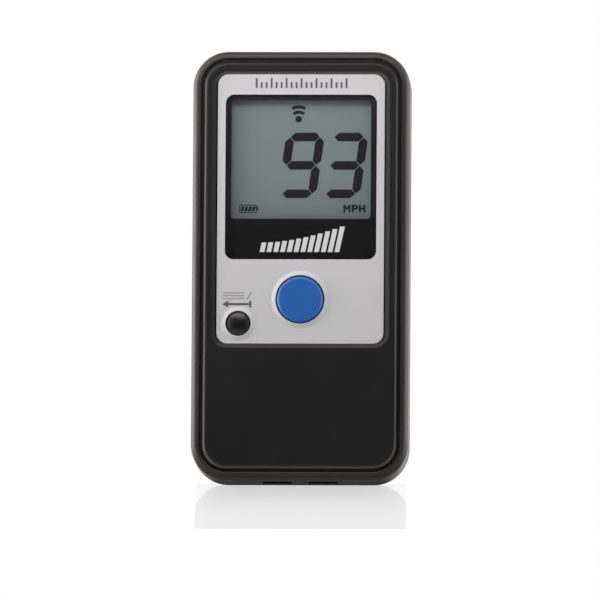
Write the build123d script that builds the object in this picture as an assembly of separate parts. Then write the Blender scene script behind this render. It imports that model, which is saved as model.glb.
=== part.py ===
from build123d import *

import os

# A flat handheld speed radar that stands on its bottom end.
# Millimetres. X is the width, Y the depth with the display on the -Y side, Z the height.
# The origin is at the centre of the bottom end.

# Case
WIDTH = 59.1
HEIGHT = 117.4
CROWN_Y = -10.5  # the proudest point in front, the crown of the large button
BEZEL_Y = -10.1  # front face of the bezel and of the lower panel
RIM_Y = -9.2  # front rim of the back shell
BACK_Y = 10.5
MID_Z = HEIGHT / 2
CORNER_R = 9.8
WALL = 1.8
GROOVE = 0.7  # gap between the two shells, seen from the front
SIDE_MARGIN = 2.45  # rim width at the sides
END_MARGIN = 2.25  # rim width at the top and bottom
RIM_LEDGE = 0.8  # step inside the rim that the front shell's flange rests on
BACK_EDGE_R = 6.0
RIM_EDGE_R = 1.9
RIM_INNER_R = 0.45
BITE = 0.02  # hairline gap between parts that touch
WELD = 0.1  # overlap that joins two solids into one
PAST = 1.0  # how far a cut runs past the face that it opens

# Front shell
INSERT_W = WIDTH - 2 * (SIDE_MARGIN + GROOVE)
INSERT_H = HEIGHT - 2 * (END_MARGIN + GROOVE)
INSERT_R = CORNER_R - SIDE_MARGIN - GROOVE
PANEL_BACK_Y = -7.3
GROOVE_FLOOR_Y = -8.85
FLANGE_BACK_Y = -6.5
FLANGE_GAP = 0.1
FLANGE_W = 1.5
BEZEL_EDGE_R = 1.1
POCKET_BEVEL_W = 1.1
POCKET_BEVEL_DEPTH = 0.5

# Faceplate and window
FACE_Y = -9.5
POCKET_FLOOR_Y = -8.5
TAPE = 0.1
PLATE_W = 45.4
PLATE_H = 73.8
PLATE_R = 2.9
PLATE_Z = 74.05
PLATE_SIDE_GAP = 0.4
PLATE_END_GAP = 0.15
PANE_W = 41.1
PANE_H = 45.1
PANE_R = 2.3
PANE_Z = 82.8
PANE_FRONT_Y = -9.55
PANE_GAP = 0.05
PANE_EDGE = 0.1
MASK = 0.1
VIEW_W = 38.0
VIEW_H = 32.45
VIEW_Z = 87.65
VIEW_R = 1.0
VIEW_CLEAR = 0.5
TAPE_BORDER = 1.2
TAPE_INSET = 0.5

# Buttons
MEASURE_X, MEASURE_Z = 0.0, 49.2
MEASURE_R = 6.35
MEASURE_HOLE_R = 6.65
MEASURE_EDGE_R = 0.95
MODE_X, MODE_Z = -16.8, 42.6
MODE_R = 3.3
MODE_HOLE_R = 3.45
MODE_CROWN_Y = -10.4
MODE_CROWN_SPHERE_R = 6.2
MODE_EDGE_R = 0.3
COLLAR_H = 0.45
COLLAR_LIP = 0.2
COLLAR_SLOPE = 1.0
COLLAR_EDGE_R = 0.7
COLLAR_FOOT_R = 0.9
MEASURE = (MEASURE_X, MEASURE_Z, MEASURE_R)
MODE = (MODE_X, MODE_Z, MODE_R)
BUTTON_HOLES = ((MEASURE_X, MEASURE_Z, MEASURE_HOLE_R), (MODE_X, MODE_Z, MODE_HOLE_R))
FLANGE_OVERHANG = 1.3

# Main board
BOARD_FRONT_Y = -4.8
BOARD_BACK_Y = -3.6
BOARD_W = 50.0
BOARD_BOTTOM_Z = 9.3
BOARD_TOP_Z = 109.1
BOARD_R = 3.0
BOARD_SCREW_X = 22.3
BOARD_SCREW_ZS = (13.5, 63.4)
BOARD_BOSS_R = 2.1
BOARD_SCREW_R = 0.95
BOARD_HEAD_R = 1.8
BOARD_HEAD_H = 1.2
SCREW_HOLE_GAP = 0.1

# Display
GLASS_W = 42.0
GLASS_H = 39.2
REAR_GLASS_H = 34.6
GLASS = 0.7
FILM = 0.2
DISPLAY_FRONT_Y = -7.25
HOLDER_W = 44.8
HOLDER_H = 42.4
HOLDER_R = 1.5
HOLDER_GAP = 0.1
ZEBRA_W = 37.0
ZEBRA_H = 1.8
ZEBRA_INSET = 0.2
FILM_INSET = 1.0
GLASS_R = 0.3

# Keypad
MAT = 0.4
MAT_W, MAT_H, MAT_R = 30.0, 22.0, 2.0
MAT_X, MAT_Z = -6.5, 47.2
MAT_GAP = 0.2
MEASURE_DOME_R = 6.0
MEASURE_DOME_TOP_R = 4.2
MODE_DOME_R = 3.3
MODE_DOME_TOP_R = 2.0
DOME_TOP_Y = -6.48
DOME_SKIN = 0.35
PILL = 0.3
MEASURE_PILL_R = 2.5
MODE_PILL_R = 1.2

# Components on the back of the main board
CHIP_R = 0.4
CHIP_H = 1.2
CHIP_STANDOFF = 0.1
LEAD_W = 0.34
LEAD_T = 0.3
LEAD_REACH = 1.0
LEAD_ROOT = 0.2
LEAD_INSET = 0.6
PROCESSOR = (-9.5, 88.0, 9.0, 8)  # x, z, size, leads on a side
DISPLAY_DRIVER = (11.0, 94.0, 7.0, 7)
CRYSTAL_X, CRYSTAL_Z = 11.0, 82.0
CRYSTAL_W, CRYSTAL_H = 8.2, 3.0
CRYSTAL_FLANGE = 0.4
CRYSTAL_DEPTH = 2.4
CAPACITORS = 6
CAPACITOR_W, CAPACITOR_H, CAPACITOR_DEPTH = 0.9, 1.7, 0.9
CAPACITOR_X, CAPACITOR_Z, CAPACITOR_PITCH = -13.0, 66.5, 2.0

# Battery bay
CELL_R = 5.25
CELL_L = 44.5
CELL_X = 5.35
CELL_Y = 3.15
NUB_R = 1.9
NUB_H = 0.9
BAY_HALF_W = 10.9
BAY_BOTTOM_Z = 12.0
BAY_TOP_Z = 61.0
BAY_WALL = 1.2
BAY_R = 1.5
BAY_INNER_R = 0.8
BAY_FLOOR_FRONT_Y = -3.2
BAY_FLOOR_BACK_Y = -2.2
CONTACT = 0.4
CONTACT_BACK_Y = 6.2
CONTACT_BUMP = 0.5
CONTACT_BUMP_R = 1.6
CONTACT_W = 8.6
SPRING_H = 3.2
SPRING_R = 2.4
WIRE_R = 0.25
COILS = 3
TAIL_W = 1.6
TAIL_GAP = 0.1
CELL_EDGE_R = 0.5

# Battery door
DOOR_W = 26.0
DOOR_BOTTOM_Z = 10.2
DOOR_TOP_Z = 62.8
DOOR_FRONT_Y = 8.9
DOOR_R = 2.0
DOOR_GAP = 0.15
LEDGE_HALF_W = 14.6
LEDGE_REACH = 1.8
LEDGE_T = 1.2
LEDGE_R = 2.5
HOOK_X = 7.5
HOOK_W = 4.0
HOOK_FRONT_Y = 7.4
HOOK_BACK_Y = 8.6
HOOK_TOP_Z = 64.4
HOOK_GAP = 0.3
HOOK_ROOM_Y = 6.8
HOOK_ROOT = 1.8
HOOK_STEP = 0.4
NOTCH_DEPTH = 1.5
NOTCH_RISE = 0.5
TONGUE_W = 10.0
TONGUE_H = 7.0
TONGUE_SLOT = 0.5
GRIPS = 4
GRIP_W, GRIP_H, GRIP_DEPTH, GRIP_R = 7.6, 0.6, 0.5, 0.25
GRIP_Z, GRIP_PITCH = 1.6, 1.3
FOAM_FRONT_Y = 8.45
FOAM_W, FOAM_H, FOAM_R, FOAM_Z = 14.0, 30.0, 1.0, 36.0

# Case screws
CASE_SCREW_X = 20.0
CASE_SCREW_INSET = 5.9
POST_R = 2.5
POST_BACK_Y = 1.95
BOSS_R = 3.0
BOSS_FRONT_Y = 2.0
SCREW_SEAT_Y = 6.0
CASE_SCREW_R = 0.98
CASE_HEAD_R = 1.9
CASE_HEAD_H = 1.4
CASE_TIP_Y = -4.0
POST_HOLE_FRONT_Y = -4.5
HEAD_GAP = 0.25
SHANK_GAP = 0.2
HEAD_EDGE_R = 0.35
CROSS_W = 0.45
CROSS_DEPTH = 0.7
CROSS_SPAN = 0.7  # part of the head's radius
TIP_BEVEL = 0.3

# Strap anchor in the bottom end
SLOT_W = 7.8
SLOT_DEPTH = 5.4
SLOT_Y = -1.6
BRIDGE_W = 4.6
STRAP_BAR_H = 2.0
STRAP_POCKET_TOP_Z = 7.0
STRAP_WALL = 1.0
STRAP_FOOT_Z = 0.5

# Antenna
ANTENNA_W = 34.0
ANTENNA_H = 39.0
ANTENNA_Z = 86.5
ANTENNA_FRONT_Y = 7.0
ANTENNA_BACK_Y = 8.2
SPACER_X = 14.5
SPACER_DZ = 17.0
SPACER_R = 1.9
ANTENNA_R = 2.0
PATCH = 5.6
PATCH_PITCH = 8.4
PATCH_ROWS = 4
FEED_W = 0.7
COPPER = 0.1
CAN_SIZE = 20.0
CAN_R = 1.0
CAN_DEPTH = 2.6
CAN_WALL = 0.3
CAN_EDGE_R = 0.5
CAN_RISE = 1.5  # above the middle of the antenna board
VENT_R = 0.8
VENT_PITCH = 5.0
HEADER_DROP = 12.6
HEADER_W, HEADER_H, HEADER_R = 15.2, 2.5, 0.3
HEADER_CLEAR = 2.5
PINS = 6
PIN = 0.6
PIN_PITCH = 2.5
PIN_ROOT = 3.0

# Rear label
LABEL_W = 38.0
LABEL_H = 36.0
LABEL_R = 3.0
LABEL_Z = 86.5
LABEL_RECESS = 0.4
LABEL = 0.3
LABEL_GAP = 0.2


def layer(y):
    """A sketch plane at depth y that faces the user, with its own y axis along Z."""
    return Plane(origin=(0, y, 0), x_dir=(1, 0, 0), z_dir=(0, -1, 0))


def slab(width, height, radius, y_front, y_back, x=0.0, z=MID_Z):
    """A plate between two depths, rounded at its corners."""
    outline = RectangleRounded(width, height, radius) if radius else Rectangle(width, height)
    return extrude(layer(y_back) * Pos(x, z) * outline, amount=y_back - y_front)


def disc(radius, y_front, y_back, x, z):
    """A round plate between two depths."""
    return extrude(layer(y_back) * Pos(x, z) * Circle(radius), amount=y_back - y_front)


def cone(front_radius, back_radius, y_front, y_back, x, z):
    """A cone between two depths."""
    solid = Cone(back_radius, front_radius, y_back - y_front, align=(Align.CENTER, Align.CENTER, Align.MIN))
    return layer(y_back) * Pos(x, z) * solid


def block(low, high):
    """A box between two corners."""
    size = [b - a for a, b in zip(low, high)]
    centre = [(a + b) / 2 for a, b in zip(low, high)]
    return Pos(*centre) * Box(*size)


def edges_at(shape, y):
    """The edges of a shape that lie at one depth."""
    return shape.edges().filter_by_position(Axis.Y, y - 0.001, y + 0.001)


def case_screw_spots():
    """The four places of the case screws, as x, z."""
    zs = (CASE_SCREW_INSET, HEIGHT - CASE_SCREW_INSET)
    return [(x, z) for x in (-CASE_SCREW_X, CASE_SCREW_X) for z in zs]


def board_screw_spots():
    """The four places of the board screws, as x, z."""
    return [(x, z) for x in (-BOARD_SCREW_X, BOARD_SCREW_X) for z in BOARD_SCREW_ZS]


def antenna_spots():
    """The four places of the antenna spacers, as x, z."""
    return [(x, ANTENNA_Z + dz) for x in (-SPACER_X, SPACER_X) for dz in (-SPACER_DZ, SPACER_DZ)]


def make_front_shell():
    """Black front half: bezel, pocket, lower panel, flange, screw posts."""
    shell = slab(INSERT_W, INSERT_H, INSERT_R, BEZEL_Y, PANEL_BACK_Y)
    shell = fillet(edges_at(shell, BEZEL_Y), BEZEL_EDGE_R)
    pocket_w = PLATE_W + 2 * PLATE_SIDE_GAP
    pocket_h = PLATE_H + 2 * PLATE_END_GAP
    pocket_r = PLATE_R + PLATE_END_GAP
    shell -= slab(pocket_w, pocket_h, pocket_r, BEZEL_Y - PAST, POCKET_FLOOR_Y, 0, PLATE_Z)
    bevel_back_y = BEZEL_Y + POCKET_BEVEL_DEPTH
    mouth_w = pocket_w + 2 * POCKET_BEVEL_W
    mouth_h = pocket_h + 2 * POCKET_BEVEL_W
    mouth = RectangleRounded(mouth_w, mouth_h, pocket_r + POCKET_BEVEL_W)
    foot = layer(bevel_back_y) * Pos(0, PLATE_Z) * RectangleRounded(pocket_w, pocket_h, pocket_r)
    shell -= loft([foot, layer(BEZEL_Y) * Pos(0, PLATE_Z) * mouth], ruled=True)
    flange_w = INSERT_W + 2 * (GROOVE - FLANGE_GAP)
    flange_h = INSERT_H + 2 * (GROOVE - FLANGE_GAP)
    flange_r = INSERT_R + GROOVE - FLANGE_GAP
    flange = slab(flange_w, flange_h, flange_r, GROOVE_FLOOR_Y, FLANGE_BACK_Y)
    inner_w = INSERT_W - 2 * FLANGE_W
    inner_h = INSERT_H - 2 * FLANGE_W
    flange -= slab(inner_w, inner_h, INSERT_R - FLANGE_W, GROOVE_FLOOR_Y - PAST, FLANGE_BACK_Y + PAST)
    shell += flange
    view_w = VIEW_W + 2 * VIEW_CLEAR
    view_h = VIEW_H + 2 * VIEW_CLEAR
    shell -= slab(view_w, view_h, VIEW_R, BEZEL_Y, FLANGE_BACK_Y, 0, VIEW_Z)
    for x, z, radius in BUTTON_HOLES:
        shell -= disc(radius, BEZEL_Y, FLANGE_BACK_Y, x, z)
    for x, z in case_screw_spots():
        shell += disc(POST_R, PANEL_BACK_Y - WELD, POST_BACK_Y, x, z)
        shell -= disc(CASE_SCREW_R + BITE, POST_HOLE_FRONT_Y, POST_BACK_Y, x, z)
    for x, z in board_screw_spots():
        shell += disc(BOARD_BOSS_R, PANEL_BACK_Y - WELD, BOARD_FRONT_Y, x, z)
        shell -= disc(BOARD_SCREW_R + BITE, PANEL_BACK_Y - 3 * WELD, BOARD_FRONT_Y, x, z)
    return shell


def make_bay():
    """Battery bay of the back shell: floor, walls and the ledge under the door."""
    centre_z = (BAY_BOTTOM_Z + BAY_TOP_Z) / 2
    inner_h = BAY_TOP_Z - BAY_BOTTOM_Z
    outer_w = 2 * (BAY_HALF_W + BAY_WALL)
    outer_h = inner_h + 2 * BAY_WALL
    ledge_top_z = DOOR_TOP_Z + LEDGE_REACH
    ledge_bottom_z = DOOR_BOTTOM_Z - LEDGE_REACH
    ledge_h = ledge_top_z - ledge_bottom_z
    ledge_z = (ledge_top_z + ledge_bottom_z) / 2
    bay = slab(outer_w, outer_h, BAY_R, BAY_FLOOR_FRONT_Y, DOOR_FRONT_Y, 0, centre_z)
    bay += slab(2 * LEDGE_HALF_W, ledge_h, LEDGE_R, DOOR_FRONT_Y - LEDGE_T, DOOR_FRONT_Y, 0, ledge_z)
    return bay


def bay_cuts():
    """What the battery bay, the door opening and the hook notches take away."""
    centre_z = (BAY_BOTTOM_Z + BAY_TOP_Z) / 2
    door_z = (DOOR_BOTTOM_Z + DOOR_TOP_Z) / 2
    door_w = DOOR_W + 2 * DOOR_GAP
    door_h = DOOR_TOP_Z - DOOR_BOTTOM_Z + 2 * DOOR_GAP
    inner_h = BAY_TOP_Z - BAY_BOTTOM_Z
    cuts = slab(2 * BAY_HALF_W, inner_h, BAY_INNER_R, BAY_FLOOR_BACK_Y, DOOR_FRONT_Y + WELD, 0, centre_z)
    cuts += slab(door_w, door_h, DOOR_R + DOOR_GAP, DOOR_FRONT_Y, BACK_Y + PAST, 0, door_z)
    for x in (-HOOK_X, HOOK_X):
        reach = HOOK_W / 2 + HOOK_GAP
        low = (x - reach, HOOK_ROOM_Y, BAY_TOP_Z - NOTCH_DEPTH)
        cuts += block(low, (x + reach, BACK_Y - WALL, HOOK_TOP_Z + NOTCH_RISE))
        cuts += block(low, (x + reach, DOOR_FRONT_Y + WELD, DOOR_TOP_Z + DOOR_GAP))
    for x in (-CELL_X, CELL_X):
        reach = TAIL_W / 2 + TAIL_GAP
        low = (x - reach, BAY_FLOOR_FRONT_Y - PAST, BAY_TOP_Z - CONTACT - TAIL_GAP)
        high = (x + reach, BAY_FLOOR_BACK_Y + WELD, BAY_TOP_Z)
        cuts += block(low, high)
    return cuts


def make_back_shell():
    """Outer tub: rim round the front shell, back wall, bay, strap anchor, screw bosses."""
    shell = slab(WIDTH, HEIGHT, CORNER_R, RIM_Y, BACK_Y)
    shell = fillet(edges_at(shell, BACK_Y), BACK_EDGE_R)
    shell = fillet(edges_at(shell, RIM_Y), RIM_EDGE_R)
    mouth_w = WIDTH - 2 * SIDE_MARGIN
    mouth_h = HEIGHT - 2 * END_MARGIN
    mouth_r = CORNER_R - SIDE_MARGIN
    shell -= slab(mouth_w, mouth_h, mouth_r, RIM_Y - PAST, FLANGE_BACK_Y)
    rim = shell.faces().sort_by(Axis.Y)[0]
    shell = shell.fillet(RIM_INNER_R, rim.inner_wires()[0].edges())
    cavity_w = mouth_w - 2 * RIM_LEDGE
    cavity_h = mouth_h - 2 * RIM_LEDGE
    cavity = slab(cavity_w, cavity_h, mouth_r - RIM_LEDGE, FLANGE_BACK_Y - WELD, BACK_Y - WALL)
    cavity = fillet(edges_at(cavity, BACK_Y - WALL), BACK_EDGE_R - WALL)
    shell -= cavity
    inset = WALL / 3
    envelope = slab(WIDTH - 2 * inset, HEIGHT - 2 * inset, CORNER_R - inset, FLANGE_BACK_Y, BACK_Y - inset)
    envelope = fillet(edges_at(envelope, BACK_Y - inset), BACK_EDGE_R - inset)
    bosses = make_bay()
    for x, z in case_screw_spots():
        bosses += disc(BOSS_R, BOSS_FRONT_Y, BACK_Y, x, z)
    bosses += strap_housing()
    shell += bosses & envelope
    shell -= bay_cuts()
    shell -= strap_cuts()
    for x, z in case_screw_spots():
        shell -= disc(CASE_HEAD_R + HEAD_GAP, SCREW_SEAT_Y, BACK_Y + PAST, x, z)
        shell -= disc(CASE_SCREW_R + SHANK_GAP, BOSS_FRONT_Y - PAST, SCREW_SEAT_Y, x, z)
    recess_w = LABEL_W + 2 * LABEL_GAP
    recess_h = LABEL_H + 2 * LABEL_GAP
    recess_y = BACK_Y - LABEL_RECESS
    return shell - slab(recess_w, recess_h, LABEL_R + LABEL_GAP, recess_y, BACK_Y + PAST, 0, LABEL_Z)


def strap_housing():
    """Closed housing behind the strap slots."""
    half_w = BRIDGE_W / 2 + SLOT_W + STRAP_WALL
    low = (-half_w, SLOT_Y - SLOT_DEPTH / 2 - STRAP_WALL, STRAP_FOOT_Z)
    high = (half_w, SLOT_Y + SLOT_DEPTH / 2 + STRAP_WALL, STRAP_POCKET_TOP_Z + STRAP_WALL)
    return block(low, high)


def strap_cuts():
    """Two slots in the bottom end and the pocket that joins them behind a bar."""
    y_low = SLOT_Y - SLOT_DEPTH / 2
    y_high = SLOT_Y + SLOT_DEPTH / 2
    half_w = BRIDGE_W / 2 + SLOT_W
    cuts = block((-half_w, y_low, STRAP_BAR_H), (half_w, y_high, STRAP_POCKET_TOP_Z))
    for side in (-1, 1):
        centre = side * (BRIDGE_W / 2 + SLOT_W / 2)
        low = (centre - SLOT_W / 2, y_low, -PAST)
        cuts += block(low, (centre + SLOT_W / 2, y_high, STRAP_BAR_H + WELD))
    return cuts


def is_ring_round_button(edge):
    """Whether an edge is a full circle round one of the button holes."""
    if edge.geom_type != GeomType.CIRCLE:
        return False
    at = edge.arc_center
    return any(abs(at.X - x) < BITE and abs(at.Z - z) < BITE for x, z, radius in BUTTON_HOLES)


def make_faceplate():
    """Grey plate with the window opening and a raised collar round each button hole."""
    plate = slab(PLATE_W, PLATE_H, PLATE_R, FACE_Y, POCKET_FLOOR_Y - TAPE, 0, PLATE_Z)
    opening_w = PANE_W + 2 * PANE_GAP
    opening_h = PANE_H + 2 * PANE_GAP
    plate -= slab(opening_w, opening_h, PANE_R + PANE_GAP, FACE_Y - PAST, POCKET_FLOOR_Y, 0, PANE_Z)
    collar_y = FACE_Y - COLLAR_H
    for x, z, radius in BUTTON_HOLES:
        lip_r = radius + COLLAR_LIP
        collar = cone(lip_r, lip_r + COLLAR_SLOPE, collar_y, FACE_Y, x, z)
        plate += fillet(edges_at(collar, collar_y), COLLAR_EDGE_R)
    feet = [e for e in edges_at(plate, FACE_Y) if is_ring_round_button(e)]
    plate = plate.fillet(COLLAR_FOOT_R, feet)
    for x, z, radius in BUTTON_HOLES:
        plate -= disc(radius, BEZEL_Y - PAST, POCKET_FLOOR_Y, x, z)
    return plate


def make_faceplate_tape():
    """Adhesive sheet under the faceplate."""
    tape_w = PLATE_W - 2 * TAPE_INSET
    tape_h = PLATE_H - 2 * TAPE_INSET
    tape = slab(tape_w, tape_h, PLATE_R - TAPE_INSET, POCKET_FLOOR_Y - TAPE, POCKET_FLOOR_Y, 0, PLATE_Z)
    opening_w = PANE_W + TAPE_INSET
    opening_h = PANE_H + TAPE_INSET
    tape -= slab(opening_w, opening_h, PANE_R, FACE_Y, POCKET_FLOOR_Y + PAST, 0, PANE_Z)
    for x, z, radius in BUTTON_HOLES:
        tape -= disc(radius + TAPE_INSET, FACE_Y, POCKET_FLOOR_Y + PAST, x, z)
    return tape


def make_window():
    """Clear pane in the faceplate's opening."""
    pane = slab(PANE_W, PANE_H, PANE_R, PANE_FRONT_Y, POCKET_FLOOR_Y - TAPE - MASK, 0, PANE_Z)
    return chamfer(edges_at(pane, PANE_FRONT_Y), PANE_EDGE)


def make_window_mask():
    """Black printed border on the back of the pane."""
    y_back = POCKET_FLOOR_Y - TAPE
    mask = slab(PANE_W, PANE_H, PANE_R, y_back - MASK, y_back, 0, PANE_Z)
    return mask - slab(VIEW_W, VIEW_H, VIEW_R, y_back - PAST, y_back + PAST, 0, VIEW_Z)


def make_window_tape():
    """Adhesive frame between the mask and the pocket floor."""
    tape = slab(PANE_W, PANE_H, PANE_R, POCKET_FLOOR_Y - TAPE, POCKET_FLOOR_Y, 0, PANE_Z)
    hole_w = VIEW_W + TAPE_BORDER
    hole_h = VIEW_H + TAPE_BORDER
    return tape - slab(hole_w, hole_h, VIEW_R, POCKET_FLOOR_Y - PAST, POCKET_FLOOR_Y + PAST, 0, VIEW_Z)


def make_display():
    """The stack of the liquid crystal display, its holder and its connectors."""
    y1 = DISPLAY_FRONT_Y + FILM
    y2 = y1 + GLASS
    y3 = y2 + GLASS
    y4 = y3 + FILM
    zebra_y = BOARD_FRONT_Y
    zebra_dz = (GLASS_H - ZEBRA_H) / 2 - ZEBRA_INSET
    base_back_y = BOARD_FRONT_Y - BITE
    front_y = DISPLAY_FRONT_Y - PAST
    room = 2 * HOLDER_GAP
    film_w = GLASS_W - 2 * FILM_INSET
    holder = slab(HOLDER_W, HOLDER_H, HOLDER_R, DISPLAY_FRONT_Y, base_back_y, 0, VIEW_Z)
    holder -= slab(GLASS_W + room, GLASS_H + room, GLASS_R, front_y, y4, 0, VIEW_Z)
    for dz in (-zebra_dz, zebra_dz):
        holder -= slab(ZEBRA_W + room, ZEBRA_H + room, 0, front_y, base_back_y + PAST, 0, VIEW_Z + dz)
    return {
        "lcd_front_polariser": slab(film_w, REAR_GLASS_H, GLASS_R, DISPLAY_FRONT_Y, y1, 0, VIEW_Z),
        "lcd_front_glass": slab(GLASS_W, GLASS_H, GLASS_R, y1, y2, 0, VIEW_Z),
        "lcd_rear_glass": slab(GLASS_W, REAR_GLASS_H, GLASS_R, y2, y3, 0, VIEW_Z),
        "lcd_reflector": slab(film_w, REAR_GLASS_H - FILM_INSET, GLASS_R, y3, y4, 0, VIEW_Z),
        "lcd_holder": holder,
        "upper_zebra_strip": slab(ZEBRA_W, ZEBRA_H, 0, y2, zebra_y, 0, VIEW_Z + zebra_dz),
        "lower_zebra_strip": slab(ZEBRA_W, ZEBRA_H, 0, y2, zebra_y, 0, VIEW_Z - zebra_dz),
    }


def make_flat_button(x, z, radius, front_y, edge_r):
    """Push button with a flat face, a rounded edge and a retaining flange."""
    cap = disc(radius, front_y, DOME_TOP_Y - BITE, x, z)
    return fillet(edges_at(cap, front_y), edge_r) + button_flange(x, z, radius)


def make_domed_button(x, z, radius, front_y, sphere_r, edge_r):
    """Push button with a spherical crown, a softened edge and a retaining flange."""
    cap = disc(radius, front_y, DOME_TOP_Y - BITE, x, z)
    cap = cap & (Pos(x, front_y + sphere_r, z) * Sphere(sphere_r))
    shoulder_y = front_y + sphere_r - (sphere_r**2 - radius**2) ** 0.5
    return fillet(edges_at(cap, shoulder_y), edge_r) + button_flange(x, z, radius)


def button_flange(x, z, radius):
    """Flange that keeps a button behind the front shell."""
    return disc(radius + FLANGE_OVERHANG, PANEL_BACK_Y + BITE, DOME_TOP_Y - BITE, x, z)


def make_dome(x, z, top_radius, foot_radius):
    """Hollow silicone dome that the button presses down."""
    inner_y = DOME_TOP_Y + DOME_SKIN
    dome = cone(top_radius, foot_radius, DOME_TOP_Y, BOARD_FRONT_Y, x, z)
    return dome - cone(top_radius - DOME_SKIN, foot_radius - DOME_SKIN, inner_y, BOARD_FRONT_Y, x, z)


def make_pill(x, z, radius):
    """Carbon contact pill under a dome's crown."""
    y_front = DOME_TOP_Y + DOME_SKIN + BITE
    return disc(radius, y_front, y_front + PILL, x, z)


def make_keypad_mat():
    """Silicone sheet on the board round both domes."""
    mat = slab(MAT_W, MAT_H, MAT_R, BOARD_FRONT_Y - MAT, BOARD_FRONT_Y, MAT_X, MAT_Z)
    mat -= disc(MEASURE_DOME_R + MAT_GAP, BEZEL_Y, BOARD_BACK_Y, MEASURE_X, MEASURE_Z)
    return mat - disc(MODE_DOME_R + MAT_GAP, BEZEL_Y, BOARD_BACK_Y, MODE_X, MODE_Z)


def make_main_board():
    """Circuit board with screw holes."""
    height = BOARD_TOP_Z - BOARD_BOTTOM_Z
    centre_z = (BOARD_TOP_Z + BOARD_BOTTOM_Z) / 2
    board = slab(BOARD_W, height, BOARD_R, BOARD_FRONT_Y, BOARD_BACK_Y, 0, centre_z)
    for x, z in board_screw_spots():
        board -= disc(BOARD_SCREW_R + SCREW_HOLE_GAP, BEZEL_Y, BACK_Y, x, z)
    return board


def make_chip(x, z, size, leads):
    """Square chip with gull-wing leads on two sides, on the back of the board."""
    half = size / 2
    front_y = BOARD_BACK_Y + CHIP_STANDOFF
    body = slab(size, size, CHIP_R, front_y, front_y + CHIP_H, x, z)
    pitch = (size - 2 * LEAD_INSET) / (leads - 1)
    for side in (-1, 1):
        for i in range(leads):
            lead_z = z - half + LEAD_INSET + i * pitch
            inner = x + side * (half - LEAD_ROOT)
            outer = x + side * (half + LEAD_REACH)
            low = (min(inner, outer), BOARD_BACK_Y, lead_z - LEAD_W / 2)
            high = (max(inner, outer), BOARD_BACK_Y + LEAD_T, lead_z + LEAD_W / 2)
            body += block(low, high)
    return body


def make_crystal(x, z):
    """Oblong metal crystal can with its rolled flange."""
    flange_y = BOARD_BACK_Y + CRYSTAL_FLANGE
    top_y = BOARD_BACK_Y + CRYSTAL_DEPTH
    radius = CRYSTAL_H / 2 - WELD
    grow = 2 * CRYSTAL_FLANGE
    flange = slab(CRYSTAL_W + grow, CRYSTAL_H + grow, radius + CRYSTAL_FLANGE, BOARD_BACK_Y, flange_y, x, z)
    top = slab(CRYSTAL_W, CRYSTAL_H, radius, flange_y, top_y, x, z)
    return flange + fillet(edges_at(top, top_y), CRYSTAL_FLANGE)


def make_capacitors():
    """Row of small chip capacitors beside the processor."""
    y_back = BOARD_BACK_Y + CAPACITOR_DEPTH
    xs = [CAPACITOR_X + CAPACITOR_PITCH * i for i in range(CAPACITORS)]
    return [slab(CAPACITOR_W, CAPACITOR_H, 2 * WELD, BOARD_BACK_Y, y_back, x, CAPACITOR_Z) for x in xs]


def make_shield_can():
    """Pressed tin can over the receiver, with vent holes, on the front of the antenna board."""
    z = ANTENNA_Z + CAN_RISE
    top_y = ANTENNA_FRONT_Y - CAN_DEPTH
    inner = CAN_SIZE - 2 * CAN_WALL
    can = slab(CAN_SIZE, CAN_SIZE, CAN_R, top_y, ANTENNA_FRONT_Y, 0, z)
    can = fillet(edges_at(can, top_y), CAN_EDGE_R)
    can -= slab(inner, inner, CAN_R - CAN_WALL, top_y + CAN_WALL, ANTENNA_FRONT_Y, 0, z)
    for x in (-VENT_PITCH, 0, VENT_PITCH):
        for dz in (-VENT_PITCH, 0, VENT_PITCH):
            can -= disc(VENT_R, top_y - PAST, top_y + PAST, x, z + dz)
    return can


def make_board_header():
    """Row of pins in a plastic strip between the main board and the antenna board."""
    z = ANTENNA_Z - HEADER_DROP
    strip = slab(HEADER_W, HEADER_H, HEADER_R, BOARD_BACK_Y, ANTENNA_FRONT_Y - HEADER_CLEAR, 0, z)
    for i in range(PINS):
        x = PIN_PITCH * (i - (PINS - 1) / 2)
        strip += slab(PIN, PIN, 0, ANTENNA_FRONT_Y - PIN_ROOT, ANTENNA_FRONT_Y, x, z)
    return strip


def make_antenna_board():
    """Antenna board behind the upper back wall."""
    return slab(ANTENNA_W, ANTENNA_H, ANTENNA_R, ANTENNA_FRONT_Y, ANTENNA_BACK_Y, 0, ANTENNA_Z)


def make_antenna_patches():
    """Copper patches joined by feed lines."""
    y_front = ANTENNA_BACK_Y
    y_back = ANTENNA_BACK_Y + COPPER
    copper = slab(FEED_W, (PATCH_ROWS - 1) * PATCH_PITCH, 0, y_front, y_back, 0, ANTENNA_Z)
    for row in range(PATCH_ROWS):
        z = ANTENNA_Z + PATCH_PITCH * (row - (PATCH_ROWS - 1) / 2)
        copper += slab(2 * PATCH_PITCH, FEED_W, 0, y_front, y_back, 0, z)
        for x in (-PATCH_PITCH, PATCH_PITCH):
            copper += slab(PATCH, PATCH, 0, y_front, y_back, x, z)
    return copper


def make_spacers():
    """Four round spacers between the main board and the antenna board."""
    return [disc(SPACER_R, BOARD_BACK_Y, ANTENNA_FRONT_Y, x, z) for x, z in antenna_spots()]


def make_screw(x, z, head_r, shank_r, seat_y, tip_y, head_h):
    """Pan-head screw with a cross recess, driven from the back."""
    head = disc(head_r, seat_y, seat_y + head_h, x, z)
    head_y = seat_y + head_h
    head = fillet(edges_at(head, head_y), HEAD_EDGE_R)
    reach = CROSS_SPAN * head_r
    for w, h in ((reach, CROSS_W / 2), (CROSS_W / 2, reach)):
        head -= block((x - w, head_y - CROSS_DEPTH, z - h), (x + w, head_y + PAST, z + h))
    shank = disc(shank_r, tip_y, seat_y, x, z)
    return head + chamfer(edges_at(shank, tip_y), TIP_BEVEL)


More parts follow.
